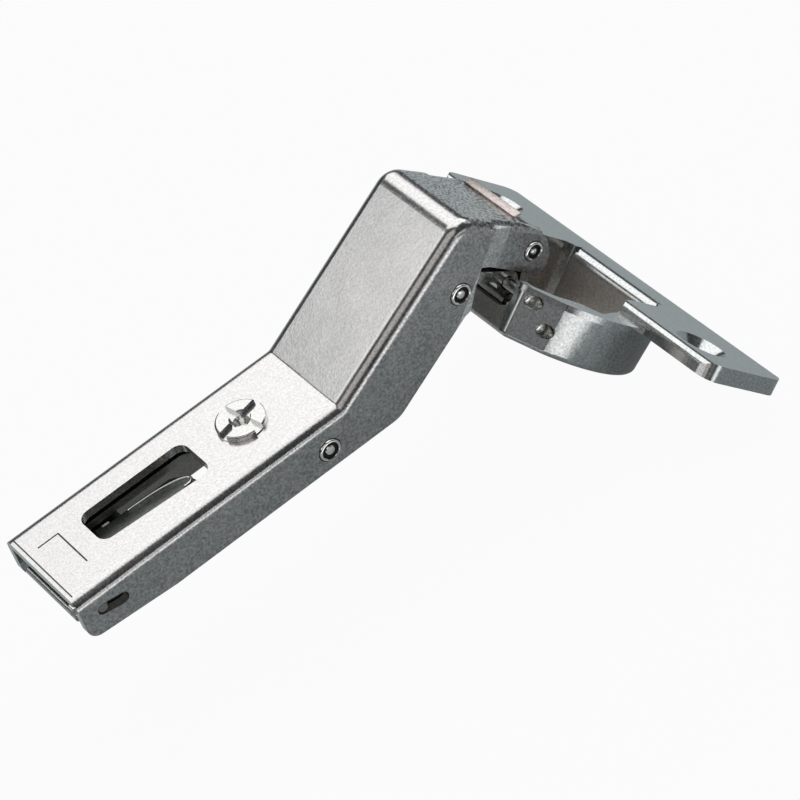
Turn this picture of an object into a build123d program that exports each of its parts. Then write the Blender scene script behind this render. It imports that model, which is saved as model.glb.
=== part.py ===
from build123d import *
import math
import os

os.makedirs("parts", exist_ok=True)

# Angled concealed cabinet hinge, shown fully open. Millimetres.
# Origin: middle of the clip seat at the arm's rear end. +X runs forward along the arm,
# +Z away from the seat, and every pivot axis is parallel to Y.

# Arm
ARM_LENGTH = 43.4            # straight clip section, rear end to elbow
ARM_WIDTH = 17.6             # over the side walls
ARM_SHEET = 1.3              # arm steel thickness
ARM_TOP = 8.4                # top plate above the clip seat
WALL_FOOT = 0.4              # lower edge of the side walls above the clip seat
RISER_LENGTH = 29.0          # elbow to the upper crease
RISER_ANGLE = 30.0
RISER_DEPTH = 10.6           # depth of the side walls on the riser
NOSE_ANGLE = -44.0
NOSE_LENGTH = 12.2           # upper crease to the front edge of the top plate
NOSE_WIDTH = 15.1            # stepped-in front of the arm
STEP_AT = 6.7                # where the nose starts to step in, from the upper crease
STEP_LENGTH = 3.6            # length of the slanted step
BEND_RADIUS = 1.7
CREST_RADIUS = 3.2
WINDOW = (8.6, 25.8, 7.6)    # rear end, front end, width of the top plate's window
WINDOW_NARROWS = 1.1         # how much narrower its near side is at the rear

# Screw, rivet and pins of the clip section
SCREW_FROM_ELBOW = 10.2      # side adjusting screw behind the elbow
SCREW_HEAD_D = 7.05
SCREW_HEAD_H = 0.85
SCREW_D = 4.0
RIVET_FROM_ELBOW = 3.5       # stop rivet behind the elbow
RIVET_Z = 3.4
REAR_PIN = (3.3, 4.8)        # tilt axis of the arm on its clip channel (x, z)
REAR_PIN_R = 0.85
LATCH_PIN = (10.8, 2.3)      # axis of the release lever
LATCH_PIN_R = 1.0

# Linkage
A_FROM_CREST = (-3.55, -10.74)       # rear link on the arm, from the upper crease
B_FROM_CREST = (9.02, -13.6)         # front link on the arm, from the upper crease
FRONT_LINK_LENGTH = 8.85             # pivot B to pivot D
FRONT_LINK_ANGLE = -124.7
ARM_PIN_R = 1.15
LINK_PIN_R = 1.0
LINK_EYE_R = 1.75                    # links' eyes on the cup's two pins
OPEN_PIVOT_SHIFT = (0.499, -0.379)   # middle of the free eye's play, seen from pivot A
OPEN_PIVOT_PLAY = 0.86               # radius of that play
LINK_WIDTH = 11.8
BARREL_R = 2.95                      # front link round pivot B

# Cup and flange: u along the flange from the hole line, h out of the cup
FLANGE_ANGLE = -50.0
CUP_PIN_UPPER = (-21.7, -3.2)        # pivot C (u, h)
CUP_PIN_LOWER = (-19.3, -6.15)       # pivot D (u, h)
HOLE_SPACING = 45.0
HOLE_D = 4.4
COUNTERSINK_D = 7.4
CUP_OFFSET = -9.5                    # cup centre from the hole line
CUP_D = 35.0
CUP_DEPTH = 9.3
CUP_DRAFT = 4.0                      # taper of the cup's wall
CUP_FLOOR = 1.0
CUP_EDGE = 0.8                       # rounding of the cup's lower edge
FRONT_WALL = 3.5                     # front wall from the cup's round outline
FRONT_SHEET = 1.5
FLANGE_T = 2.4
SHOULDER = 1.5                       # height of the rim's sloping shoulder
SHOULDER_SLOPE = 57.0                # its slope from the cup's axis
WING_REAR = 5.2                      # wing edge behind the hole line
WING_FRONT = 9.9                     # wing edge ahead of it
WING_LENGTH = 60.8
WING_ROUND = (1.1, 0.35)             # rounding of the upper edges, rear and front
WING_CORNER = 2.4
NOTCH_WIDTH = 18.2                   # front wall's notch for the arm
NOTCH_DEPTH = 6.0
MOUTH_REAR = 3.9                     # far edge of the cup's mouth from the hole line
MOUTH_LIP = 1.6                      # rounding of that far edge
LUG_WIDTH = 20.4                     # mouth between the wings

# Clip channel and lever
CHANNEL_SHEET = 1.2
CHANNEL_TOP = 5.8
LEVER_SHEET = 0.9
LEVER_Z = 3.5
GAP = 0.25                           # sliding gap between pressed parts


def ramp(point, angle, distance):
    a = math.radians(angle)
    return (point[0] + distance * math.cos(a), point[1] + distance * math.sin(a))


def shifted(point, offset):
    return (point[0] + offset[0], point[1] + offset[1])


def turned(point, angle):
    a = math.radians(angle)
    return (point[0] * math.cos(a) - point[1] * math.sin(a), point[0] * math.sin(a) + point[1] * math.cos(a))


# Positions that follow from the sizes above, as (x, z)
ELBOW = (ARM_LENGTH, ARM_TOP)
CREST = ramp(ELBOW, RISER_ANGLE, RISER_LENGTH)
STEP_TOP = ramp(CREST, NOSE_ANGLE, STEP_AT)
STEP_FOOT = ramp(STEP_TOP, NOSE_ANGLE - 90, 6.3)
WEB_FRONT = ramp(CREST, NOSE_ANGLE, NOSE_LENGTH)
SCREW_X = ARM_LENGTH - SCREW_FROM_ELBOW
RIVET = (ARM_LENGTH - RIVET_FROM_ELBOW, RIVET_Z)
PIVOT_A = shifted(CREST, A_FROM_CREST)
PIVOT_B = shifted(CREST, B_FROM_CREST)
PIVOT_D = ramp(PIVOT_B, FRONT_LINK_ANGLE, FRONT_LINK_LENGTH)
FLANGE_ORIGIN = shifted(PIVOT_D, turned(CUP_PIN_LOWER, FLANGE_ANGLE + 180))
PIVOT_C = shifted(FLANGE_ORIGIN, turned(CUP_PIN_UPPER, FLANGE_ANGLE))
CUP_RADIUS = CUP_D / 2 - 0.25
FRONT_U = CUP_OFFSET - CUP_RADIUS + FRONT_WALL
INSIDE = ARM_WIDTH / 2 - ARM_SHEET
NOSE_INSIDE = NOSE_WIDTH / 2 - ARM_SHEET
CHANNEL_HALF = INSIDE - GAP


def side_prism(points, half_width):
    """A prism of an (x, z) outline, symmetric about the mid-plane."""
    face = Plane.XZ * make_face(Polyline(*points, close=True))
    return extrude(face, half_width, both=True)


def rod_y(at, radius, y0, y1):
    """A round bar along Y through the (x, z) position."""
    return Pos(at[0], (y0 + y1) / 2, at[1]) * Rot(90, 0, 0) * Cylinder(radius, abs(y1 - y0))


def slot_y(a, b, radius, half_width):
    """An obround cutter along Y between two (x, z) centres."""
    ends = rod_y(a, radius, -half_width, half_width) + rod_y(b, radius, -half_width, half_width)
    angle = math.degrees(math.atan2(b[1] - a[1], b[0] - a[0]))
    mid = ((a[0] + b[0]) / 2, (a[1] + b[1]) / 2)
    return ends + Pos(mid[0], 0, mid[1]) * Rot(0, -angle, 0) * Box(math.dist(a, b), 2 * half_width, 2 * radius)


def across(shape, at, reach=0.05):
    """Edges along Y at an (x, z) corner."""
    return [e for e in shape.edges().filter_by(Axis.Y) if math.dist((e.center().X, e.center().Z), at) < reach]


def save(shape, name):
    shape.label = name
    export_step(shape, f"parts/{name}.step")
    print(name, round(shape.volume, 1))


def crease_point(corner, angle_before, angle_after, inset):
    """The corner of two straight runs when both are inset by the sheet."""
    mid = math.radians((angle_before + angle_after) / 2)
    reach = inset / math.cos(math.radians((angle_before - angle_after) / 2))
    return (corner[0] + reach * math.sin(mid), corner[1] - reach * math.cos(mid))


def along_nose(e, d):
    """A point e ahead of the upper crease along the nose and d below it."""
    return ramp(ramp(CREST, NOSE_ANGLE, e), NOSE_ANGLE - 90, d)


RISER_FOOT = ramp(ramp(ELBOW, RISER_ANGLE, 2.4), RISER_ANGLE - 90, RISER_DEPTH)
RISER_END = ramp(ramp(ELBOW, RISER_ANGLE, RISER_LENGTH - 10.8), RISER_ANGLE - 90, RISER_DEPTH)
HEEL = (0.0, WALL_FOOT + 1.0)
FOOT_CORNER = (RISER_FOOT[0] - (RISER_FOOT[1] - WALL_FOOT) / math.tan(math.radians(RISER_ANGLE)), WALL_FOOT)


def arm_outline():
    """Side outline of the full-width arm, rear end to step."""
    front = [STEP_FOOT, along_nose(7.1, 9.4), along_nose(7.8, 12.4), RISER_END]
    foot = [FOOT_CORNER, (13.5, WALL_FOOT), HEEL]
    return [(0.0, ARM_TOP), ELBOW, CREST, STEP_TOP] + front + foot


def arm_hollow():
    """The space under the top plate, between the walls."""
    elbow = crease_point(ELBOW, 0.0, RISER_ANGLE, ARM_SHEET)
    crest = crease_point(CREST, RISER_ANGLE, NOSE_ANGLE, ARM_SHEET)
    ahead = ramp(crest, NOSE_ANGLE, STEP_AT + 4.0)
    return [(-1.0, elbow[1]), elbow, crest, ahead, (ahead[0] + 2.0, -8.0), (-1.0, -8.0)]


def nose_outline():
    """Side outline of the stepped-in nose, with its eye round pivot B."""
    back = ramp(STEP_TOP, NOSE_ANGLE, -4.5)
    eye = [(1.0, 3.5), (2.0, 2.2), (2.5, 0.1), (2.15, -2.0), (1.1, -3.5), (-0.5, -3.9), (-1.8, -2.7)]
    return [back, WEB_FRONT] + [shifted(PIVOT_B, p) for p in eye] + [STEP_FOOT]


def nose_hollow():
    """The space under the nose's web, open ahead of the web's front edge."""
    e = NOSE_LENGTH
    return [along_nose(STEP_AT - 4.5, ARM_SHEET), along_nose(e, ARM_SHEET), along_nose(e, -3.0),
            along_nose(e + 12.0, -3.0), along_nose(e + 12.0, 12.0), (CREST[0] - 8.0, -8.0)]


def distance_to_line(p, a, b):
    """Distance from a point to the run from a to b, and 9 past its ends."""
    length = math.dist(a, b)
    t = ((p[0] - a[0]) * (b[0] - a[0]) + (p[1] - a[1]) * (b[1] - a[1])) / length ** 2
    if not -0.02 < t < 1.02:
        return 9.0
    return abs((p[0] - a[0]) * (b[1] - a[1]) - (p[1] - a[1]) * (b[0] - a[0])) / length


def plate_gap(p):
    """Distance of a point from the top plate's outer surface, rear end to step."""
    at = (p.X, p.Z)
    runs = (((0.0, ARM_TOP), ELBOW), (ELBOW, CREST), (CREST, STEP_TOP))
    return min(distance_to_line(at, a, b) for a, b in runs)


def upper_edges(shape, half_width):
    """Long outer edges of the top plate, rear end to step."""
    sides = [e for e in shape.edges() if abs(abs(e.center().Y) - half_width) < 0.01]
    return [e for e in sides if plate_gap(e.position_at(0)) < 0.1 and plate_gap(e.position_at(1)) < 0.1]


def step_band(side):
    """Slanted wall that joins a wide wall to the nose wall on one side."""
    lower = ramp(STEP_FOOT, NOSE_ANGLE + 90, 0.1)
    upper = ramp(STEP_TOP, NOSE_ANGLE - 90, 0.5)
    wide, narrow = ARM_WIDTH / 2, NOSE_WIDTH / 2

    def section(p):
        ahead = ramp(p, NOSE_ANGLE, STEP_LENGTH)
        behind = ramp(p, NOSE_ANGLE, -0.7)
        points = [(behind, wide), (p, wide), (ahead, narrow), (ahead, NOSE_INSIDE + 0.02),
                  (p, NOSE_INSIDE + 0.02), (behind, INSIDE)]
        return Face(Wire.make_polygon([Vector(v[0], side * y, v[1]) for v, y in points], close=True))

    return extrude(section(lower), amount=math.dist(lower, upper),
                   dir=Vector(upper[0] - lower[0], 0, upper[1] - lower[1]))


def hinge_arm():
    outer = side_prism(arm_outline(), ARM_WIDTH / 2)
    outer = fillet(across(outer, CREST), CREST_RADIUS)
    outer = fillet(across(outer, ELBOW), 0.7)
    outer = fillet(across(outer, FOOT_CORNER), 4.0)
    outer = fillet(across(outer, RISER_END), 1.2)
    outer = fillet(across(outer, HEEL), 1.9)
    outer = fillet(upper_edges(outer, ARM_WIDTH / 2), BEND_RADIUS)
    shell = outer - side_prism(arm_hollow(), INSIDE)
    nose = side_prism(nose_outline(), NOSE_WIDTH / 2)
    rim = [e for e in nose.edges() if abs(abs(e.center().Y) - NOSE_WIDTH / 2) < 0.01
           and distance_to_line((e.center().X, e.center().Z), ramp(CREST, NOSE_ANGLE, -1), WEB_FRONT) < 0.05]
    nose = fillet(rim, 1.1)
    bulk = side_prism([ramp(RISER_END, RISER_ANGLE, -9), RISER_END, STEP_FOOT, STEP_TOP,
                       ramp(STEP_TOP, NOSE_ANGLE + 90, 4), ramp(CREST, RISER_ANGLE + 90, 9)], 20)
    nose = (nose - side_prism(nose_hollow(), NOSE_INSIDE)) - (bulk & outer)
    arm = shell + nose + step_band(-1) + step_band(1)
    # window and screw hole in the top plate, a fine line along its rear edge and a blank framed field
    x0, x1, width = WINDOW
    sides = Polyline((x0, width / 2), (x1, width / 2), (x1, -width / 2), (x0, WINDOW_NARROWS - width / 2), close=True)
    window = Pos(0, 0, ARM_TOP - 3) * extrude(make_face(sides), 6)
    arm -= fillet(window.edges().filter_by(Axis.Z), 1.6)
    arm -= Pos(SCREW_X, 0, ARM_TOP) * Cylinder(SCREW_HEAD_D / 2 - 0.7, 6)
    arm -= Pos(0.6, 0, ARM_TOP) * Box(0.14, 14.6, 0.14)
    arm -= Pos(5.4, 0, ARM_TOP) * Box(0.18, 7.3, 0.18)
    arm -= Pos(3.8, 3.56, ARM_TOP) * Box(3.3, 0.18, 0.18)
    # rear slots for the tilt pin, and the riveted pins' holes
    arm -= slot_y(REAR_PIN, shifted(REAR_PIN, (2.9, -0.5)), REAR_PIN_R + 0.05, 12)
    for at in (RIVET, PIVOT_A, PIVOT_B):
        arm -= rod_y(at, ARM_PIN_R + 0.01, -12, 12)
    # small pip that the pressing leaves at the rear corner of the near wall
    return arm + rod_y((-0.3, ARM_TOP - 1.1), 0.6, -ARM_WIDTH / 2 + 0.2, -ARM_WIDTH / 2 + 1.2)


def rivet_pin(at, head_r, seat_y):
    """A through pin with a dished, riveted head on each side."""
    pin = rod_y(at, ARM_PIN_R, -seat_y - 0.1, seat_y + 0.1)
    height, proud = 0.4, 0.01
    for side in (-1, 1):
        head = Pos(at[0], side * (seat_y + height / 2 + proud), at[1]) * Rot(90, 0, 0) * Cylinder(head_r, height)
        pin += chamfer(head.edges().sort_by(Axis.Y)[-1 if side > 0 else 0], 0.18)
        pin -= Pos(at[0], side * (seat_y + height), at[1]) * Rot(90, 0, 0) * Cylinder(head_r * 0.52, 0.55)
    return pin


def plain_pin(at, radius, half_length, edge=0.2):
    pin = rod_y(at, radius, -half_length, half_length)
    return chamfer(pin.edges().filter_by(GeomType.CIRCLE), edge)


def clip_channel():
    """Inner channel that hooks onto the mounting plate under the screw and latches at the rear."""
    x_end = RIVET[0] + 2.7
    hook = SCREW_X
    outline = [(1.7, 1.4), (1.7, CHANNEL_TOP), (x_end - 0.8, CHANNEL_TOP), (x_end, CHANNEL_TOP - 0.9),
               (x_end, 1.1), (x_end - 1.1, 0.0), (hook + 1.1, 0.0), (hook + 1.1, 0.9), (hook + 3.5, 0.9),
               (hook + 3.5, 2.6), (hook - 2.5, 2.6), (hook - 3.0, 0.0), (9.1, 0.0), (8.0, 1.4)]
    body = side_prism(outline, CHANNEL_HALF)
    roof = CHANNEL_TOP - CHANNEL_SHEET
    body -= Pos(x_end / 2, 0, 0) * Box(x_end + 9, 2 * (CHANNEL_HALF - CHANNEL_SHEET), 2 * roof)
    x0, x1, width = WINDOW
    opening = Pos((x0 + x1) / 2, 0, CHANNEL_TOP) * Box(x1 - x0 + 1.4, width + 1.2, 4)
    body -= fillet(opening.edges().filter_by(Axis.Z), 1.8)
    thread = SCREW_D / 2 + 0.12
    collar = Pos(SCREW_X, 0, roof - 0.7) * Cylinder(thread + 1.1, 1.6)
    body = body + collar - Pos(SCREW_X, 0, CHANNEL_TOP) * Cylinder(thread, 9)
    body -= rod_y(REAR_PIN, REAR_PIN_R + 0.01, -12, 12)
    body -= rod_y(LATCH_PIN, LATCH_PIN_R + 0.01, -12, 12)
    travel = math.radians(1.5) * (RIVET[0] - REAR_PIN[0]) + 0.1
    low, high = (RIVET[0], RIVET_Z - travel), (RIVET[0], RIVET_Z + travel)
    return body - slot_y(low, high, ARM_PIN_R + 0.12, 12)


def side_adjust_screw():
    """Captive screw: slotted cross head, neck in the top plate, collar under it, threaded shank."""
    seat = ARM_TOP + 0.03
    under = ARM_TOP - ARM_SHEET - 0.05
    end_z = 1.0
    head = Pos(SCREW_X, 0, seat + SCREW_HEAD_H / 2) * Cylinder(SCREW_HEAD_D / 2, SCREW_HEAD_H)
    head = fillet(head.edges().sort_by(Axis.Z)[-1], 0.3)
    neck = Pos(SCREW_X, 0, ARM_TOP - ARM_SHEET / 2) * Cylinder(SCREW_HEAD_D / 2 - 0.75, ARM_SHEET + 0.3)
    collar = Pos(SCREW_X, 0, under - 0.2) * Cylinder(SCREW_HEAD_D / 2 - 0.2, 0.4)
    shank = Pos(SCREW_X, 0, (under + end_z) / 2) * Cylinder(SCREW_D / 2, under - end_z)
    shank = chamfer(shank.edges().sort_by(Axis.Z)[0], 0.45)
    screw = head + neck + collar + shank
    top = seat + SCREW_HEAD_H
    for turn in (12, 102):
        screw -= Pos(SCREW_X, 0, top) * Rot(0, 0, turn) * Box(SCREW_HEAD_D + 1, 1.35, 1.4)
    return screw - Pos(SCREW_X, 0, top - 0.9) * Cone(0.6, 1.55, 1.82)


def release_lever():
    """Pressed lever inside the channel: leaf with a long gap, side cheeks, rear cross rod."""
    leaf = Pos(12.9, 0, LEVER_Z) * Box(21.6, 6.2, LEVER_SHEET)
    leaf = fillet(leaf.edges().filter_by(Axis.Z), 1.5)
    gap = Pos(11.3, 0, LEVER_Z) * Box(5.4, 3.4, 3)
    tail = side_prism([(2.6, LEVER_Z + 0.4), (2.6, LEVER_Z - 0.4), (0.6, LEVER_Z - 0.6), (0.6, LEVER_Z + 0.4)], 3.1)
    rod = rod_y((0.55, LEVER_Z), 0.6, -INSIDE + 1.3, INSIDE - 1.3)
    x, z = LATCH_PIN
    outer, inner = CHANNEL_HALF - CHANNEL_SHEET - 2 * GAP, CHANNEL_HALF - CHANNEL_SHEET - 2 * GAP - 1.1
    cheek = side_prism([(x - 5.1, z + 1.4), (x - 4.0, z + 1.6), (x + 2.8, z + 1.6), (x + 3.5, z + 0.9),
                        (x + 1.9, z - 1.4), (x - 1.3, z - 1.7), (x - 3.3, z - 1.5), (x - 3.8, -0.6),
                        (x - 5.5, -0.6), (x - 6.0, 1.0)], outer)
    cheek -= Pos(x, 0, 0) * Box(40, 2 * inner, 40)
    bridges = Pos(x + 2.5, 0, LEVER_Z) * Box(1.8, 2 * outer - 0.2, LEVER_SHEET)
    bridges += Pos(x - 3.8, 0, LEVER_Z) * Box(1.8, 2 * outer - 0.2, LEVER_SHEET)
    lever = leaf + tail + rod + cheek + bridges - gap
    return lever - rod_y(LATCH_PIN, LATCH_PIN_R + 0.06, -12, 12)


def latch_spring():
    """Torsion spring round the lever's pin, between channel and lever."""
    wire, turns, pitch = 0.26, 4.0, 0.62
    mean = LATCH_PIN_R + 0.12 + wire
    height = pitch * turns
    helix = Helix(pitch, height, mean)
    coil = sweep(Plane(helix @ 0, z_dir=helix % 0) * Circle(wire), path=helix)
    x, z = LATCH_PIN
    coil = Pos(x, height / 2, z) * Rot(90, 0, 0) * coil
    leg = Rot(0, 90, 0) * Cylinder(wire, 1.4)
    return coil + Pos(x + mean + 0.7, height / 2, z) * leg + Pos(x + mean + 0.7, -height / 2, z) * leg


def strap(start, end, inner, outer, half):
    """A flat web between two pivots, from inner to outer on its left side."""
    angle = math.degrees(math.atan2(end[1] - start[1], end[0] - start[0])) + 90
    return side_prism([ramp(start, angle, inner), ramp(end, angle, inner),
                       ramp(end, angle, outer), ramp(start, angle, outer)], half)


def rear_link():
    """Link from the arm (free eye at pivot A) to the cup (pivot C)."""
    eye = shifted(PIVOT_A, OPEN_PIVOT_SHIFT)
    hole_r = ARM_PIN_R + OPEN_PIVOT_PLAY + 0.08
    half = LINK_WIDTH / 2
    body = rod_y(eye, hole_r + 0.9, -half, half) + rod_y(PIVOT_C, LINK_EYE_R, -half, half)
    body += strap(eye, PIVOT_C, 0.1, 1.7, half)
    body -= rod_y(eye, hole_r, -12, 12)
    return body - rod_y(PIVOT_C, LINK_PIN_R + 0.05, -12, 12)


def front_link():
    """Link from the arm's nose (pivot B) to the cup (pivot D)."""
    half = LINK_WIDTH / 2
    body = rod_y(PIVOT_B, BARREL_R, -half, half) + rod_y(PIVOT_D, LINK_EYE_R, -half, half)
    body += strap(PIVOT_B, PIVOT_D, 0.45, 1.7, half)
    body -= rod_y(PIVOT_B, ARM_PIN_R + 0.05, -12, 12)
    return body - rod_y(PIVOT_D, LINK_PIN_R + 0.05, -12, 12)


def cup_frame(shape):
    """Moves a shape from the cup's own frame (x along the flange, z out of the cup) to its place."""
    return Pos(FLANGE_ORIGIN[0], 0, FLANGE_ORIGIN[1]) * Rot(0, -FLANGE_ANGLE, 0) * shape


def facet_y(u, offset=0.0):
    """Half width of the cup at u on its slanted side facets."""
    r = CUP_RADIUS - offset
    front = math.sqrt(r ** 2 - (r - FRONT_WALL) ** 2)
    back_u = CUP_OFFSET - r * 0.54
    back_y = r * math.sqrt(1 - 0.54 ** 2)
    front_u = FRONT_U + offset
    return front + (back_y - front) * (u - front_u) / (back_u - front_u)


def cup_plan(offset):
    """Plan of the cup wall: flat front, slanted side facets, round back."""
    r = CUP_RADIUS - offset
    u0 = FRONT_U + offset
    y0 = facet_y(u0, offset)
    u1 = CUP_OFFSET - r * 0.54
    y1 = r * math.sqrt(1 - 0.54 ** 2)
    arc = ThreePointArc((u1, y1), (CUP_OFFSET + r, 0), (u1, -y1))
    sides = Line((u0, y0), (u1, y1)) + arc + Line((u1, -y1), (u0, -y0)) + Line((u0, -y0), (u0, y0))
    return make_face(sides)


def cup_mouth():
    """Plan of the cup's mouth: follows the wall ahead, bulges, then narrows between the wings."""
    u0 = FRONT_U + FRONT_SHEET
    r = CUP_RADIUS - 2.0
    bulge = (CUP_OFFSET - 2.6, math.sqrt(r ** 2 - 2.6 ** 2))
    lug = LUG_WIDTH / 2
    half = [(u0, facet_y(u0) - 1.5), (u0 + 3.0, facet_y(u0 + 3.0) - 2.4), (bulge[0] - 2.6, bulge[1] - 2.2), bulge,
            (CUP_OFFSET + 2.6, lug + 2.4), (-3.6, lug + 0.3), (MOUTH_REAR - 1.0, lug), (MOUTH_REAR, lug - 1.0)]
    return make_face(Polyline(*half, *[(u, -y) for u, y in reversed(half)], close=True))


def cup_rim():
    """Sloping shoulder round the cup's mouth, on a straight rim."""
    plan = Pos(0, 0, -SHOULDER) * cup_plan(-0.3)
    plan = fillet(plan.vertices(), 1.6)
    shoulder = extrude(plan, SHOULDER, dir=(0, 0, 1), taper=SHOULDER_SLOPE)
    return shoulder + extrude(plan, FLANGE_T - SHOULDER, dir=(0, 0, -1))


def wings():
    """Both wings in one plate, well rounded along the upper edge that faces the cup."""
    middle = Pos((WING_FRONT - WING_REAR) / 2, 0, -FLANGE_T / 2)
    plate = middle * Box(WING_FRONT + WING_REAR, WING_LENGTH, FLANGE_T)
    plan = middle * extrude(RectangleRounded(WING_FRONT + WING_REAR, WING_LENGTH, WING_CORNER), FLANGE_T, both=True)
    plate = fillet(across(plate, (-WING_REAR, 0.0)), WING_ROUND[0])
    return fillet(across(plate, (WING_FRONT, 0.0)), WING_ROUND[1]) & plan


def hinge_cup():
    plan = Pos(0, 0, -SHOULDER) * fillet(cup_plan(0.0).vertices(), 1.2)
    body = extrude(plan, CUP_DEPTH - SHOULDER, dir=(0, 0, -1), taper=CUP_DRAFT)
    body = fillet([e for e in body.edges() if e.center().Z < -CUP_DEPTH + 0.01], CUP_EDGE)
    body += cup_rim() + wings()
    hollow = Pos(0, 0, -CUP_DEPTH + CUP_FLOOR) * extrude(cup_mouth(), CUP_DEPTH)
    body -= fillet(hollow.edges().filter_by(Axis.Z), 0.9)
    lip = Pos(MOUTH_REAR + MOUTH_LIP / 2 - 0.01, 0, 0.01 - MOUTH_LIP / 2) * Box(MOUTH_LIP, LUG_WIDTH - 2.2, MOUTH_LIP)
    body -= lip - rod_y((MOUTH_REAR + MOUTH_LIP, -MOUTH_LIP), MOUTH_LIP, -LUG_WIDTH, LUG_WIDTH)
    # notch in the front wall for arm and links
    notch = Pos(FRONT_U, 0, 0) * Box(2 * FRONT_SHEET + 0.6, NOTCH_WIDTH, 2 * NOTCH_DEPTH)
    body -= fillet(notch.edges().filter_by(Axis.X), 2.0)
    # countersunk screw holes
    depth = (COUNTERSINK_D - HOLE_D) / 2
    for side in (-1, 1):
        y = side * HOLE_SPACING / 2
        body -= Pos(0, y, 0) * Cylinder(HOLE_D / 2, 20)
        body -= Pos(0, y, -depth / 2 + 0.01) * Cone(HOLE_D / 2, COUNTERSINK_D / 2, depth + 0.02)
    # pin holes through the facets
    for u, h in (CUP_PIN_UPPER, CUP_PIN_LOWER):
        body -= Pos(u, 0, h) * Rot(90, 0, 0) * Cylinder(LINK_PIN_R + 0.01, 60)
    return cup_frame(body)


def cup_pin(at):
    """Pin through the cup's facets; its ends stand a little inside the surface."""
    half = facet_y(at[0]) - 0.5
    pin = Rot(90, 0, 0) * Cylinder(LINK_PIN_R, 2 * half)
    pin = chamfer(pin.edges().filter_by(GeomType.CIRCLE), 0.25)
    return cup_frame(Pos(at[0], 0, at[1]) * pin)


def closing_spring(side):
    """Torsion spring on the lower cup pin, beside the links."""
    wire, turns = 0.38, 3.0
    u, h = CUP_PIN_LOWER
    inside = LINK_WIDTH / 2 + 0.7
    mean = LINK_PIN_R + 0.12 + wire
    room = facet_y(u - mean - wire) - 1.9 - inside
    pitch = (room - 2 * wire) / turns
    helix = Helix(pitch, pitch * turns, mean)
    coil = sweep(Plane(helix @ 0, z_dir=helix % 0) * Circle(wire), path=helix)
    coil = Pos(u, inside + wire + pitch * turns, h) * Rot(90, 0, 0) * coil
    leg = Pos(u + mean + 1.5, inside + wire + pitch * turns, h) * Rot(0, 90, 0) * Cylinder(wire, 3.0)
    foot = Pos(u + mean + 0.4, inside + wire, h) * Rot(0, 90, 0) * Cylinder(wire, 0.8)
    spring = cup_frame(coil + leg + foot)
    return spring if side > 0 else mirror(spring, about=Plane.XZ)


save(hinge_arm(), "hinge_arm")
save(clip_channel(), "clip_channel")
save(plain_pin(REAR_PIN, REAR_PIN_R, ARM_WIDTH / 2 - 0.2), "rear_pin")
save(plain_pin(LATCH_PIN, LATCH_PIN_R, CHANNEL_HALF - 0.05), "latch_pin")
save(latch_spring(), "latch_spring")
save(release_lever(), "release_lever")
save(side_adjust_screw(), "side_adjust_screw")
save(rivet_pin(RIVET, 1.7, ARM_WIDTH / 2), "stop_rivet")
save(rivet_pin(PIVOT_A, 2.0, ARM_WIDTH / 2), "rear_arm_pin")
save(rivet_pin(PIVOT_B, 1.65, NOSE_WIDTH / 2), "front_arm_pin")
save(rear_link(), "rear_link")
save(front_link(), "front_link")
save(hinge_cup(), "hinge_cup")
save(cup_pin(CUP_PIN_UPPER), "upper_cup_pin")
save(cup_pin(CUP_PIN_LOWER), "lower_cup_pin")
save(closing_spring(-1), "closing_spring_right")
save(closing_spring(1), "closing_spring_left")
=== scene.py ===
import math
import bpy
from mathutils import Euler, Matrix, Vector


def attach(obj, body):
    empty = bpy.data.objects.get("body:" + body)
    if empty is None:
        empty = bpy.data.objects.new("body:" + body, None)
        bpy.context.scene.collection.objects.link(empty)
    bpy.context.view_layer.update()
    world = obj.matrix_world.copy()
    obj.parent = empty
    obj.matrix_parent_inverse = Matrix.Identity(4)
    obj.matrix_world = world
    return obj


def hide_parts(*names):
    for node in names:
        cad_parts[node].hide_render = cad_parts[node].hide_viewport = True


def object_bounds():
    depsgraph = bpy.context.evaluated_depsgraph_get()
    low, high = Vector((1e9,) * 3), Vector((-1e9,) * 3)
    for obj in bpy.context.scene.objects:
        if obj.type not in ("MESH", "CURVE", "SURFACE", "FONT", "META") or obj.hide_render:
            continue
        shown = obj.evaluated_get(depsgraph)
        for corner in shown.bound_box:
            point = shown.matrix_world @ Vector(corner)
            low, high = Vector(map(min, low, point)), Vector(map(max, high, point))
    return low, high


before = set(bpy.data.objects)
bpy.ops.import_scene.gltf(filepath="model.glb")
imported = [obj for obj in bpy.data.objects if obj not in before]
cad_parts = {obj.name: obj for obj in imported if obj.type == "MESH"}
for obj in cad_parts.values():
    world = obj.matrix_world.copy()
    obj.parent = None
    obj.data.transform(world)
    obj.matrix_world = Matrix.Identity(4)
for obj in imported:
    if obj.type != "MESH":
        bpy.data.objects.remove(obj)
cad_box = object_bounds()


# The arm is pressed from 1.3 mm steel strip, cranked by 30 degrees at the elbow and
# stepped in at the nose, then barrel-plated with bright nickel. Under the plating the
# strip keeps its rolled grain; its sparkle on the drawn side walls and on the nose is painted
# sparkle, a stronger colour speckle there.
SPECKLE_SIZE = 0.00032          # metres
CLOUD_SIZE = 0.0035
SKIN_SIZE = 0.0012
RELIEF_DEPTH = 0.00002
NOSE_FROM, NOSE_FULL = 0.0688, 0.0704   # x where the nose's own speckle fades in


def math_node(tree, operation, *values):
    node = tree.nodes.new("ShaderNodeMath")
    node.operation = operation
    for i, value in enumerate(values):
        if isinstance(value, float):
            node.inputs[i].default_value = value
        else:
            tree.links.new(value, node.inputs[i])
    return node.outputs["Value"]


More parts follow.
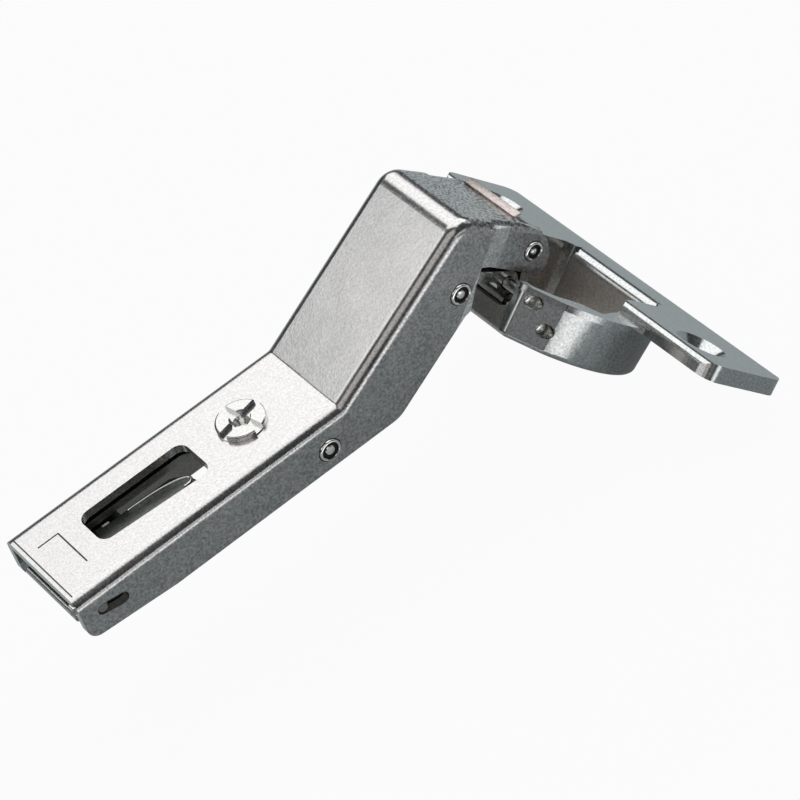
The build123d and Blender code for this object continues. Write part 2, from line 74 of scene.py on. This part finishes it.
def nickel(name, colour, roughness, grain, speckle, side_speckle, nose_speckle=0.0, side_painted_shade=1.0):
    mat = bpy.data.materials.new(name)
    mat.use_nodes = True
    tree = mat.node_tree
    shader = tree.nodes["Principled BSDF"]
    shader.inputs["Metallic"].default_value = 1.0
    place = tree.nodes.new("ShaderNodeTexCoord")

    def noise(size, detail):
        node = tree.nodes.new("ShaderNodeTexNoise")
        node.inputs["Scale"].default_value = 1.0 / size
        node.inputs["Detail"].default_value = detail
        tree.links.new(place.outputs["Object"], node.inputs["Vector"])
        return node

    # speckle: stronger on faces that look sideways and on the nose, partly painted sparkle;
    # sideways faces are also painted a little darker, painted shade
    split = tree.nodes.new("ShaderNodeSeparateXYZ")
    tree.links.new(place.outputs["Normal"], split.inputs["Vector"])
    sideways = math_node(tree, "POWER", math_node(tree, "ABSOLUTE", split.outputs["Y"]), 2.0)
    strength = math_node(tree, "MULTIPLY_ADD", sideways, side_speckle - speckle, speckle)
    where = tree.nodes.new("ShaderNodeSeparateXYZ")
    tree.links.new(place.outputs["Object"], where.inputs["Vector"])
    nose = tree.nodes.new("ShaderNodeMapRange")
    nose.inputs["From Min"].default_value = NOSE_FROM
    nose.inputs["From Max"].default_value = NOSE_FULL
    nose.inputs["To Max"].default_value = nose_speckle
    tree.links.new(where.outputs["X"], nose.inputs["Value"])
    level_face = math_node(tree, "SUBTRACT", 1.0, sideways)
    strength = math_node(tree, "MULTIPLY_ADD", nose.outputs["Result"], level_face, strength)
    fine = noise(SPECKLE_SIZE, 2.0)
    cloud = noise(CLOUD_SIZE, 4.0)
    spots = math_node(tree, "MULTIPLY_ADD", fine.outputs["Fac"], 3.6, -1.8)
    patch = math_node(tree, "MULTIPLY_ADD", cloud.outputs["Fac"], 0.5, -0.25)
    level = math_node(tree, "MULTIPLY_ADD", math_node(tree, "ADD", spots, patch), strength, 1.0)
    # painted shade: faces that look sideways get a darker colour
    side_shade = math_node(tree, "MULTIPLY_ADD", sideways, side_painted_shade - 1.0, 1.0)
    level = math_node(tree, "MULTIPLY", level, side_shade)
    tint = tree.nodes.new("ShaderNodeVectorMath")
    tint.operation = "SCALE"
    tint.inputs[0].default_value = colour
    tree.links.new(level, tint.inputs["Scale"])
    tree.links.new(tint.outputs["Vector"], shader.inputs["Base Color"])

    # roughness: cloudy, with small dull spots
    dull = math_node(tree, "MULTIPLY_ADD", cloud.outputs["Fac"], 0.12, roughness - 0.06)
    dull = math_node(tree, "MULTIPLY_ADD", fine.outputs["Fac"], 0.08, dull)
    tree.links.new(dull, shader.inputs["Roughness"])

    # relief: rolled grain over a faint orange peel
    skin = noise(SKIN_SIZE, 2.0)
    relief = math_node(tree, "MULTIPLY_ADD", skin.outputs["Fac"], 0.8, fine.outputs["Fac"])
    bump = tree.nodes.new("ShaderNodeBump")
    bump.inputs["Strength"].default_value = grain
    bump.inputs["Distance"].default_value = RELIEF_DEPTH
    tree.links.new(relief, bump.inputs["Height"])
    tree.links.new(bump.outputs["Normal"], shader.inputs["Normal"])
    return mat


def coat(node, mat):
    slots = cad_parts[node].data.materials
    if len(slots) == 0:
        slots.append(mat)
    for i in range(len(slots)):
        slots[i] = mat


arm_plating = nickel("arm_nickel", (0.665, 0.655, 0.65), 0.17, 0.45, 0.18, 0.48, 1.3, 0.6)
coat("hinge_arm", arm_plating)

# Painted marks on the plating: the step is painted lighter and matt, a painted highlight on its
# bend, and the stamped lines (one across the rear, one blank frame ahead of it) are painted dark,
# painted shade in their grooves.
def painted_light_patch(mat, inside, rough_more, tone, matt=0.0):
    tree = mat.node_tree
    shader = tree.nodes["Principled BSDF"]
    rough = shader.inputs["Roughness"].links[0].from_socket
    rougher = math_node(tree, "MULTIPLY_ADD", inside, rough_more, rough)
    tree.links.new(rougher, shader.inputs["Roughness"])
    if matt > 0.0:
        less_metal = math_node(tree, "MULTIPLY_ADD", inside, -matt, 1.0)
        tree.links.new(less_metal, shader.inputs["Metallic"])
    colour = shader.inputs["Base Color"].links[0].from_socket
    tinted = tree.nodes.new("ShaderNodeMix")
    tinted.data_type = "RGBA"
    tinted.blend_type = "MULTIPLY"
    tree.links.new(inside, tinted.inputs["Factor"])
    tree.links.new(colour, tinted.inputs["A"])
    tinted.inputs["B"].default_value = (*tone, 1.0)
    tree.links.new(tinted.outputs["Result"], shader.inputs["Base Color"])


def along(mat, direction, start):
    """Distance along a direction from a start point, in metres, on the object's own surface."""
    tree = mat.node_tree
    place = tree.nodes["Texture Coordinate"]
    shift = tree.nodes.new("ShaderNodeVectorMath")
    shift.operation = "SUBTRACT"
    shift.inputs[1].default_value = start
    tree.links.new(place.outputs["Object"], shift.inputs[0])
    dot = tree.nodes.new("ShaderNodeVectorMath")
    dot.operation = "DOT_PRODUCT"
    dot.inputs[1].default_value = direction
    tree.links.new(shift.outputs["Vector"], dot.inputs[0])
    return dot.outputs["Value"]


def near(mat, value, middle, half, soft=0.00005):
    """1 within half of the middle value, 0 outside, with a soft border."""
    tree = mat.node_tree
    away = math_node(tree, "ABSOLUTE", math_node(tree, "SUBTRACT", value, middle))
    edge = tree.nodes.new("ShaderNodeMapRange")
    edge.inputs["From Min"].default_value = half + soft
    edge.inputs["From Max"].default_value = half - soft
    tree.links.new(away, edge.inputs["Value"])
    return edge.outputs["Result"]


def both(mat, first, second, operation="MULTIPLY"):
    return math_node(mat.node_tree, operation, first, second)


ORIGIN = (0.0, 0.0, 0.0)
crest = (0.068515, 0.0, 0.0229)
nose_direction = (0.7193, 0.0, -0.6947)
nose_half_width = 0.00745
down_nose = along(arm_plating, nose_direction, crest)
across_arm = along(arm_plating, (0.0, 1.0, 0.0), ORIGIN)
step_at, step_half = 0.0085, 0.00185
band = near(arm_plating, down_nose, step_at, step_half, 0.0001)
outer = both(arm_plating, near(arm_plating, across_arm, 0.0, nose_half_width),
             near(arm_plating, across_arm, 0.0, 0.02), "SUBTRACT")
outer = both(arm_plating, outer, outer)   # 1 outside the nose's half width
# painted highlight: the step band outside the nose is painted lighter, less metallic and rougher
painted_light_patch(arm_plating, both(arm_plating, band, outer), 0.2, (1.75, 1.84, 1.85), 0.55)

forward = along(arm_plating, (1.0, 0.0, 0.0), ORIGIN)
upward = along(arm_plating, (0.0, 0.0, 1.0), ORIGIN)
arm_top = 0.0084
on_top = near(arm_plating, upward, arm_top, 0.0004)
frame_line, thin_line = 0.00011, 0.00009    # half widths of the stamped lines
frame_bar = both(arm_plating, near(arm_plating, forward, 0.0054, frame_line),
                 near(arm_plating, across_arm, 0.0, 0.00365))
frame_side = both(arm_plating, near(arm_plating, across_arm, 0.00356, frame_line),
                  near(arm_plating, forward, 0.0038, 0.00165))
rear_line = both(arm_plating, near(arm_plating, forward, 0.0006, thin_line),
                 near(arm_plating, across_arm, 0.0, 0.0073))
lines = both(arm_plating, both(arm_plating, frame_bar, frame_side, "MAXIMUM"), rear_line, "MAXIMUM")
# painted shade: the stamped lines on top are painted dark and rougher
painted_light_patch(arm_plating, both(arm_plating, lines, on_top), 0.3, (0.14, 0.13, 0.12))

# The cup and its flange are one piece, plated bright. The hollow stays satin from the tool
# and is painted a little brownish, a painted warm reflection inside it.
cup_plating = nickel("cup_nickel", (0.64, 0.66, 0.655), 0.14, 0.15, 0.26, 0.42, 0.0, 0.62)
coat("hinge_cup", cup_plating)
cup_middle = (0.083507, 0.0, -0.00153)
flange_way, mouth_way = (0.6428, 0.0, -0.766), (0.766, 0.0, 0.6428)
from_side = along(cup_plating, flange_way, cup_middle)
from_front = along(cup_plating, (0.0, 1.0, 0.0), cup_middle)
from_mouth = along(cup_plating, mouth_way, cup_middle)
radius_squared = both(cup_plating, both(cup_plating, from_side, from_side),
                      both(cup_plating, from_front, from_front), "ADD")
hollow_radius = 0.0161
in_round = near(cup_plating, radius_squared, 0.0, hollow_radius ** 2, 0.000004)
painted_tint_middle, painted_tint_half = -0.0062, 0.0046
in_depth = near(cup_plating, from_mouth, painted_tint_middle, painted_tint_half, 0.0004)
# painted reflection: the hollow is painted a little brownish and rougher
painted_light_patch(cup_plating, both(cup_plating, in_round, in_depth), 0.22, (1.0, 0.93, 0.89))

# The clip channel, its small pins and the springs lie in the shade inside; they are dull and
# their colour is painted dark grey, painted shade. The lever, the screw and the links are plated
# bright.
painted_shade_steel = nickel("channel_steel", (0.26, 0.25, 0.235), 0.34, 0.4, 0.15, 0.3)
for part in ("clip_channel", "rear_pin", "latch_pin", "latch_spring", "closing_spring_left",
             "closing_spring_right"):
    coat(part, painted_shade_steel)

bright_steel = nickel("link_steel", (0.68, 0.68, 0.66), 0.16, 0.3, 0.2, 0.4)
for part in ("release_lever", "side_adjust_screw", "stop_rivet", "rear_arm_pin", "front_arm_pin",
             "rear_link", "front_link", "upper_cup_pin", "lower_cup_pin"):
    coat(part, bright_steel)


# Three steel pins run across the arm. The rearmost stops the clip channel's tilt and the
# other two carry the links. Each end is spun over to a round head with a ring groove. The
# groove and a thin line at the wall are painted near black, painted shade, and the crown is painted
# lighter than the pins' nickel, a painted highlight.
painted_groove_shade = nickel("groove_painted_shade", (0.03, 0.03, 0.028), 0.4, 0.5, 0.1, 0.2)
# painted highlight: the crowns are painted lighter than the pins' own nickel
rivet_highlight_nickel = nickel("rivet_highlight_nickel", (0.86, 0.85, 0.83), 0.1, 0.1, 0.05, 0.05)
PIN_SHANK_R = 0.00115
WALL_OUTSIDE = 0.0088           # half the arm's width, where a head sits
NOSE_OUTSIDE = 0.00755          # the same on the narrower nose
# painted shade: a near-black line round each head where it meets the wall
WALL_SHADE_LINE = 0.00012              # width of the dark line round each head


def turned_pin(name, x, z, vertices, shank_r, seat, rings):
    """A cylinder across the arm, drawn out at both ends through rings of (radius, rise)."""
    bpy.ops.object.select_all(action="DESELECT")
    bpy.ops.mesh.primitive_cylinder_add(vertices=vertices, radius=shank_r, depth=2 * seat,
                                        location=(x, 0, z), rotation=(math.pi / 2, 0, 0))
    pin = bpy.context.object
    pin.name = name
    bpy.ops.object.transform_apply(location=True, rotation=True, scale=True)
    for side in (-1, 1):
        bpy.ops.object.mode_set(mode="EDIT")
        bpy.ops.mesh.select_all(action="DESELECT")
        bpy.ops.object.mode_set(mode="OBJECT")
        for face in pin.data.polygons:
            face.select = face.normal.y * side > 0.9 and face.center.y * side > seat / 2
        bpy.ops.object.mode_set(mode="EDIT")
        bpy.ops.mesh.select_mode(type="FACE")
        radius, y = shank_r, side * seat
        for ring_r, rise in rings:
            y += side * rise
            bpy.ops.mesh.extrude_region_move(TRANSFORM_OT_translate={"value": (0, side * rise, 0)})
            bpy.ops.transform.resize(value=(ring_r / radius, 1, ring_r / radius),
                                     center_override=(x, y, z))
            radius = ring_r
        bpy.ops.mesh.select_all(action="SELECT")
        bpy.ops.mesh.normals_make_consistent(inside=False)
        bpy.ops.object.mode_set(mode="OBJECT")
    return pin


def riveted_pin(node, body, x, z, seat, head_r):
    # rings from the wall inwards: painted shade line, rounded rim, groove, crown
    rings = ((head_r, 0.00002), (head_r - WALL_SHADE_LINE, 0.00002), (head_r - 0.00017, 0.00016),
             (head_r - 0.00027, 0.00009), (head_r - 0.00041, 0.00002), (head_r - 0.00055, -0.00009),
             (head_r - 0.00065, -0.0002), (head_r - 0.00105, 0.0), (head_r - 0.00115, 0.00012),
             (0.0002, 0.00006), (0.0001, 0.00001))
    pin = turned_pin(node + "_riveted", x, z, 56, PIN_SHANK_R, seat, rings)
    pin.data.materials.append(rivet_highlight_nickel)
    pin.data.materials.append(painted_groove_shade)
    for face in pin.data.polygons:
        away = math.hypot(face.center.x - x, face.center.z - z)
        in_groove = head_r - 0.00108 < away < head_r - 0.00058
        at_wall = away > head_r - WALL_SHADE_LINE
        # painted shade: the groove faces and the line at the wall take the near-black material
        face.material_index = 1 if (in_groove or at_wall) and abs(face.center.y) > seat else 0
    bpy.ops.object.select_all(action="DESELECT")
    pin.select_set(True)
    bpy.ops.object.shade_smooth_by_angle(angle=math.radians(40))
    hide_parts(node)
    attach(pin, body)


stop_place, pivot_a, pivot_b = (0.0399, 0.0034), (0.064965, 0.01216), (0.077535, 0.0093)
riveted_pin("stop_rivet", "arm", *stop_place, WALL_OUTSIDE, 0.00178)
riveted_pin("rear_arm_pin", "arm", *pivot_a, WALL_OUTSIDE, 0.0017)
riveted_pin("front_arm_pin", "arm", *pivot_b, NOSE_OUTSIDE, 0.00155)


# Two plain pins hold the links in the cup. Their ends are domed, sit a little inside the
# facets, and leave a dark ring round them.
CUP_PIN_R = 0.00088
DOME = ((0.00078, 0.00012), (0.00058, 0.00012), (0.0003, 0.00007), (0.00012, 0.00001))


def cup_pin(node, x, z, reach):
    pin = turned_pin(node + "_domed", x, z, 40, CUP_PIN_R, reach, DOME)
    pin.data.materials.append(bright_steel)
    bpy.ops.object.select_all(action="DESELECT")
    pin.select_set(True)
    bpy.ops.object.shade_smooth_by_angle(angle=math.radians(60))
    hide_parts(node)
    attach(pin, "cup")


pivot_c, pivot_d = (0.073214, 0.005759), (0.072497, 0.002024)
cup_pin("upper_cup_pin", *pivot_c, 0.0108)
cup_pin("lower_cup_pin", *pivot_d, 0.0126)


# The release lever's leaf lies under the window. It is a thin pressed tongue, round at the
# rear and narrower in front, with a soft raised edge. It is painted dull dark grey, darker than the
# bright lever, as painted shade under the window.
bpy.ops.object.select_all(action="DESELECT")
unit = 0.001
bpy.ops.mesh.primitive_circle_add(vertices=64, radius=unit, fill_type="NGON", location=(0, 0, 0))
leaf = bpy.context.object
leaf.name = "lever_leaf"
rear_x, rear_run = 0.0118, 0.0030       # where each round end begins and how far it runs
front_x, front_run = 0.0218, 0.0026
leaf_half_width, narrowing = 0.0041, 0.0016
leaf_z = 0.0041
for point in leaf.data.vertices:
    c, s = point.co.x / unit, point.co.y / unit
    lean = (c + 1.0) / 2.0
    x = (rear_x + rear_run * c) if c < 0 else (front_x + front_run * c)
    point.co = (x, s * (leaf_half_width - narrowing * lean), leaf_z)
bpy.ops.object.mode_set(mode="EDIT")
bpy.ops.mesh.select_mode(type="FACE")
bpy.ops.mesh.select_all(action="SELECT")
bpy.ops.mesh.normals_make_consistent(inside=False)
bpy.ops.mesh.extrude_region_move(TRANSFORM_OT_translate={"value": (0, 0, 0.0005)})
bpy.ops.mesh.inset(thickness=0.0003, depth=0.0)
bpy.ops.transform.translate(value=(0, 0, 0.0001))
bpy.ops.mesh.select_all(action="SELECT")
bpy.ops.mesh.normals_make_consistent(inside=False)
bpy.ops.object.mode_set(mode="OBJECT")
leaf_painted_shade = nickel("lever_leaf_painted_shade", (0.3, 0.32, 0.3), 0.36, 0.5, 0.3, 0.3)
leaf.data.materials.append(leaf_painted_shade)
bpy.ops.object.shade_smooth_by_angle(angle=math.radians(35))
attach(leaf, "lever")

# A bright rounded lip runs along the leaf's far side and turns back at its front end.
bpy.ops.object.select_all(action="DESELECT")
bpy.ops.curve.primitive_nurbs_path_add(location=(0, 0, 0))
lip = bpy.context.object
lip.name = "lever_lip"
path_points = ((0.0150, 0.0030), (0.0215, 0.0029), (0.0252, 0.0021), (0.0248, 0.0001),
               (0.0226, 0.0004))
lip_z = 0.00475
for point, (x, y) in zip(lip.data.splines[0].points, path_points):
    point.co = (x, y, lip_z, 1.0)
lip.data.bevel_depth = 0.00024
lip.data.bevel_resolution = 4
lip.data.use_fill_caps = True
bpy.ops.object.convert(target="MESH")
lip = bpy.context.object
lip.data.materials.append(bright_steel)
bpy.ops.object.shade_smooth_by_angle(angle=math.radians(50))
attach(lip, "lever")


# The nose's front edge is cut off raw: bare steel, a little pink, slanted by the die.
raw_steel = nickel("raw_cut", (0.6, 0.53, 0.505), 0.36, 0.6, 0.3, 0.3)
bpy.ops.object.select_all(action="DESELECT")
bpy.ops.mesh.primitive_cube_add(size=1.0, location=(0, 0, 0))
cut = bpy.context.object
cut.name = "nose_cut_edge"
cut_size, cut_tilt, cut_place = (0.00115, 0.011, 0.0004), 8, (0.07798, 0.0, 0.01434)
bpy.ops.transform.resize(value=cut_size)
bpy.ops.object.transform_apply(location=False, rotation=False, scale=True)
bpy.ops.object.mode_set(mode="EDIT")
bpy.ops.mesh.select_all(action="SELECT")
bpy.ops.mesh.bevel(offset=0.00008, segments=2)
bpy.ops.object.mode_set(mode="OBJECT")
cut.rotation_euler = (0, math.radians(cut_tilt), 0)
cut.location = cut_place
bpy.ops.object.transform_apply(location=True, rotation=True, scale=True)
cut.data.materials.append(raw_steel)
bpy.ops.object.shade_smooth_by_angle(angle=math.radians(40))
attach(cut, "arm")


# Studio: a pale floor under the lowest point of the flange. The camera sees it white, the
# plating reflects it a little darker, and the rest is plain paint that takes the shadow.
low = cad_box[0][2]
bpy.ops.object.select_all(action="DESELECT")
bpy.ops.mesh.primitive_plane_add(size=8.0, location=(0.04, 0.0, low))
floor = bpy.context.object
floor.name = "studio_floor"
paint = bpy.data.materials.new("floor_paint")
paint.use_nodes = True
tree = paint.node_tree
tree.nodes.remove(tree.nodes["Principled BSDF"])
matt = tree.nodes.new("ShaderNodeBsdfDiffuse")
matt.inputs["Color"].default_value = (0.5, 0.56, 0.575, 1.0)
glow = tree.nodes.new("ShaderNodeEmission")
glow.inputs["Color"].default_value = (1.0, 1.0, 1.0, 1.0)
path = tree.nodes.new("ShaderNodeLightPath")
camera_white, mirror_white = 0.95, 0.07
seen = math_node(tree, "MULTIPLY", path.outputs["Is Camera Ray"], camera_white)
mirrored = math_node(tree, "MULTIPLY_ADD", path.outputs["Is Glossy Ray"], mirror_white, seen)
blend = tree.nodes.new("ShaderNodeMixShader")
tree.links.new(mirrored, blend.inputs["Fac"])
tree.links.new(matt.outputs["BSDF"], blend.inputs[1])
tree.links.new(glow.outputs["Emission"], blend.inputs[2])
tree.links.new(blend.outputs["Shader"], tree.nodes["Material Output"].inputs["Surface"])
floor.data.materials.append(paint)

world = bpy.data.worlds.new("studio_room")
bpy.context.scene.world = world
world.use_nodes = True
tree = world.node_tree
room = tree.nodes["Background"]
room.inputs["Color"].default_value = (0.85, 0.9, 0.95, 1.0)
room.inputs["Strength"].default_value = 0.07
backdrop = tree.nodes.new("ShaderNodeBackground")
backdrop.inputs["Color"].default_value = (1.0, 1.0, 1.0, 1.0)
backdrop.inputs["Strength"].default_value = 0.97
path = tree.nodes.new("ShaderNodeLightPath")
blend = tree.nodes.new("ShaderNodeMixShader")
tree.links.new(path.outputs["Is Camera Ray"], blend.inputs["Fac"])
tree.links.new(room.outputs["Background"], blend.inputs[1])
tree.links.new(backdrop.outputs["Background"], blend.inputs[2])
tree.links.new(blend.outputs["Shader"], tree.nodes["World Output"].inputs["Surface"])


# A soft box stands 1.3 m from the hinge on a bearing from +Y (clockwise seen from above)
# and at a height angle, and its brightness is what a mirror would show of it.
def soft_box(name, bearing, rise, wide, tall, brightness, colour=(1.0, 1.0, 1.0)):
    far = 1.3
    b, r = math.radians(bearing), math.radians(rise)
    middle = Vector((0.045, 0.0, 0.0))
    direction = Vector((math.sin(b) * math.cos(r), math.cos(b) * math.cos(r), math.sin(r)))
    where = middle + far * direction
    lamp = bpy.data.lights.new(name, "AREA")
    lamp.shape = "RECTANGLE"
    lamp.size = 2.0 * far * math.tan(math.radians(wide / 2))
    lamp.size_y = 2.0 * far * math.tan(math.radians(tall / 2))
    lamp.energy = brightness * math.pi * lamp.size * lamp.size_y
    lamp.color = colour
    box = bpy.data.objects.new(name, lamp)
    bpy.context.collection.objects.link(box)
    box.location = where
    box.rotation_euler = (middle - where).to_track_quat("-Z", "Y").to_euler()


soft_box("back_box", 51.5, 57.0, 66.0, 68.0, 1.38)
soft_box("left_back_box", -46.0, 42.5, 30.0, 18.0, 1.22)
soft_box("left_low_card", -48.0, 13.0, 40.0, 12.0, 0.18)
soft_box("left_high_card", -90.0, 33.0, 36.0, 18.0, 0.95, (1.0, 0.94, 0.9))
soft_box("left_card", -139.0, 13.0, 34.0, 16.0, 0.2)
soft_box("front_card", 165.0, 6.0, 40.0, 9.0, 1.3)
soft_box("room_card", 214.0, 48.0, 46.0, 36.0, 0.6, (1.0, 0.95, 0.92))
soft_box("right_card", 88.0, 22.0, 30.0, 24.0, 0.55)

# A sheet of white card lies on the floor in front of the cup and brightens its round side.
bpy.ops.object.select_all(action="DESELECT")
bpy.ops.mesh.primitive_plane_add(size=1.0, location=(0.03, -0.215, low + 0.0004))
bpy.ops.transform.resize(value=(0.13, 0.29, 1.0))
bpy.ops.object.transform_apply(location=True, rotation=False, scale=True)
sheet = bpy.context.object
sheet.name = "white_sheet"
card = bpy.data.materials.new("white_card")
card.use_nodes = True
tree = card.node_tree
tree.nodes.remove(tree.nodes["Principled BSDF"])
glow = tree.nodes.new("ShaderNodeEmission")
path = tree.nodes.new("ShaderNodeLightPath")
level = tree.nodes.new("ShaderNodeMapRange")
level.inputs["To Min"].default_value = 0.4
level.inputs["To Max"].default_value = 1.8
tree.links.new(path.outputs["Is Glossy Ray"], level.inputs["Value"])
sheet_white = 0.968
seen = math_node(tree, "MULTIPLY", path.outputs["Is Camera Ray"], sheet_white)
shade = math_node(tree, "MAXIMUM", level.outputs["Result"], seen)
tree.links.new(shade, glow.inputs["Strength"])
tree.links.new(glow.outputs["Emission"], tree.nodes["Material Output"].inputs["Surface"])
sheet.data.materials.append(card)

# Camera: set from the hinge's own edges in the photograph.
lens = bpy.data.cameras.new("photo_camera")
lens.sensor_width = 36.0
lens.lens = 168.87
camera = bpy.data.objects.new("photo_camera", lens)
bpy.context.collection.objects.link(camera)
camera.location = (-0.08157, -0.33903, 0.34431)
camera.rotation_euler = Euler(
    (math.radians(44.23095), math.radians(15.06487), math.radians(-36.91229)), "XYZ")
bpy.context.scene.camera = camera
bpy.context.scene.view_settings.view_transform = "Standard"
